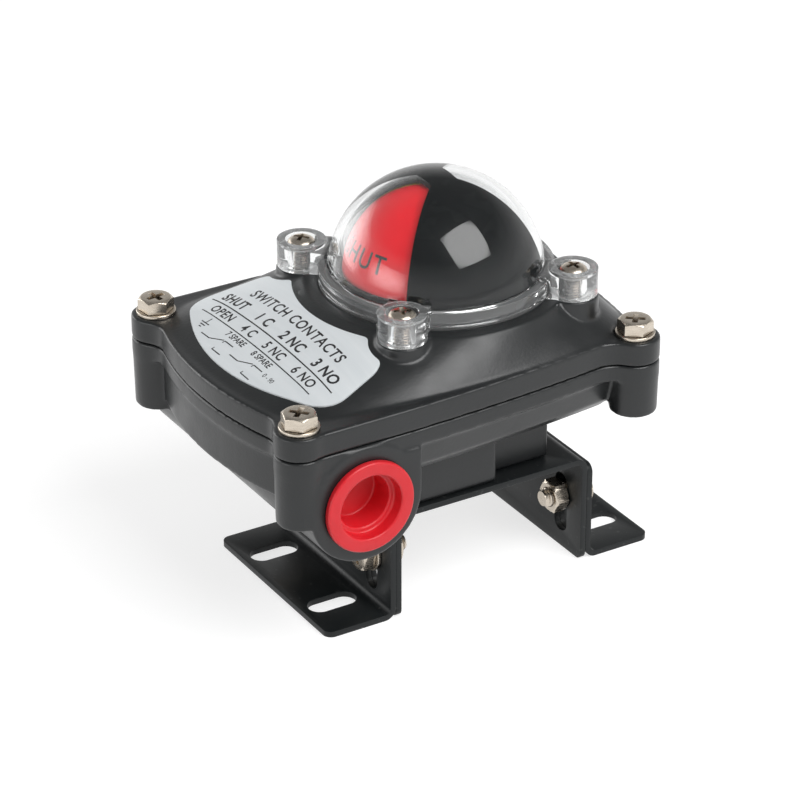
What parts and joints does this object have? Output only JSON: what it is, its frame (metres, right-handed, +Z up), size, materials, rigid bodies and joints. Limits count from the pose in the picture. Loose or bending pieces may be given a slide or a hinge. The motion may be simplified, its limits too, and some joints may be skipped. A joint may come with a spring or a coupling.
{
  "type": "valve limit switch box",
  "caption": "Black die-cast position switch box with a clear domed red and yellow indicator, side conduit entries and a slotted adjustable mounting bracket.",
  "frame": {"origin": "centre of the foot slot pattern on the mounting face, on the shaft's axis", "axes": "+X along the bracket towards the switch end, +Y away from the plugged conduit entry, +Z up the shaft"},
  "size_m": [0.1168, 0.0879, 0.106],
  "materials": {
    "powder_coat": "satin black powder coat on die-cast aluminium",
    "bracket_coat": "satin black coating on folded steel",
    "stainless": "bright stainless",
    "spring_steel": "dark oiled spring steel",
    "zinc_steel": "zinc-plated sheet",
    "black_rubber": "matt black nitrile",
    "clear_plastic": "clear polished polycarbonate",
    "black_plastic": "satin black moulding",
    "label_foil": "pale silver label foil",
    "bronze": "sintered bronze",
    "brass": "plain brass",
    "red_plastic": "bright red moulding",
    "yellow_plastic": "bright yellow moulding",
    "ivory_plastic": "natural nylon"
  },
  "bodies": {
    "feet": {"foot_left": "bracket_coat", "foot_right": "bracket_coat", "foot_bolts": "stainless", "foot_washers": "stainless", "foot_nuts": "stainless"},
    "box": {"bracket_bridge": "bracket_coat", "base_screws": "stainless", "housing": "powder_coat", "cover": "powder_coat", "cover_gasket": "black_rubber", "cover_bolts": "stainless", "cover_washers": "stainless", "clear_dome": "clear_plastic", "dome_seal": "black_rubber", "dome_screws": "stainless", "indicator_mask": "black_plastic", "label_plate": "label_foil", "lower_bush": "bronze", "upper_bush": "bronze", "conduit_plug": "red_plastic", "earth_screw": "brass", "terminal_strip": "ivory_plastic", "terminal_clamps": "brass", "terminal_screws": "stainless", "strip_screws": "stainless", "switch_plate": "zinc_steel", "plate_screws": "stainless", "lower_switch": "black_plastic", "upper_switch": "black_plastic", "switch_card": "ivory_plastic", "switch_screws": "stainless", "switch_tabs": "brass", "lever_pins": "stainless"},
    "shaft": {"shaft": "stainless", "lower_shaft_seal": "black_rubber", "upper_shaft_seal": "black_rubber", "shaft_circlip": "spring_steel", "cam_sleeve": "ivory_plastic", "sleeve_pin": "spring_steel", "cam_circlip": "spring_steel", "upper_cam": "red_plastic", "lower_cam": "yellow_plastic", "cam_spring": "spring_steel", "indicator_drum": "yellow_plastic", "indicator_red_panels": "red_plastic", "drum_screw": "stainless"},
    "upper_lever": {"upper_lever": "stainless", "upper_roller_pin": "spring_steel"},
    "upper_roller": {"upper_roller": "ivory_plastic"},
    "upper_plunger": {"upper_plunger": "red_plastic"},
    "lower_lever": {"lower_lever": "stainless", "lower_roller_pin": "spring_steel"},
    "lower_roller": {"lower_roller": "ivory_plastic"},
    "lower_plunger": {"lower_plunger": "red_plastic"}
  },
  "joints": [
    {"name": "bracket_rise", "type": "slide", "parent": "feet", "child": "box", "axis": [0, 0, 1], "range_m": [0, 0.008]},
    {"name": "shaft_turn", "type": "hinge", "parent": "box", "child": "shaft", "pos_m": [0, 0, 0.05], "axis": [0, 0, 1], "range_deg": [0, 90]},
    {"name": "upper_lever_swing", "type": "hinge", "parent": "box", "child": "upper_lever", "pos_m": [-0.0159, 0.0165, 0.05695], "axis": [0, 0, 1], "range_deg": [-8, 0]},
    {"name": "lower_lever_swing", "type": "hinge", "parent": "box", "child": "lower_lever", "pos_m": [-0.0159, 0.0165, 0.04635], "axis": [0, 0, 1], "range_deg": [0, 8]},
    {"name": "upper_roller_spin", "type": "hinge", "parent": "upper_lever", "child": "upper_roller", "pos_m": [-0.0115, 0, 0.05695], "axis": [0, 0, 1], "range_deg": [-390, 0]},
    {"name": "lower_roller_spin", "type": "hinge", "parent": "lower_lever", "child": "lower_roller", "pos_m": [-0.01369, -0.00043, 0.04635], "axis": [0, 0, 1], "range_deg": [-390, 0]},
    {"name": "upper_plunger_press", "type": "slide", "parent": "box", "child": "upper_plunger", "axis": [-1, 0, 0], "range_m": [0, 0.00117]},
    {"name": "lower_plunger_press", "type": "slide", "parent": "box", "child": "lower_plunger", "axis": [-1, 0, 0], "range_m": [-0.00117, 0]}
  ],
  "couplings": [
    {"joint": "upper_lever_swing", "follows": "shaft_turn", "ratio": -0.083402},
    {"joint": "lower_lever_swing", "follows": "shaft_turn", "ratio": 0.083402},
    {"joint": "upper_roller_spin", "follows": "shaft_turn", "ratio": -4.2},
    {"joint": "lower_roller_spin", "follows": "shaft_turn", "ratio": -4.2},
    {"joint": "upper_plunger_press", "follows": "shaft_turn", "m_per_rad": 0.00073778},
    {"joint": "lower_plunger_press", "follows": "shaft_turn", "m_per_rad": -0.00073778}
  ]
}
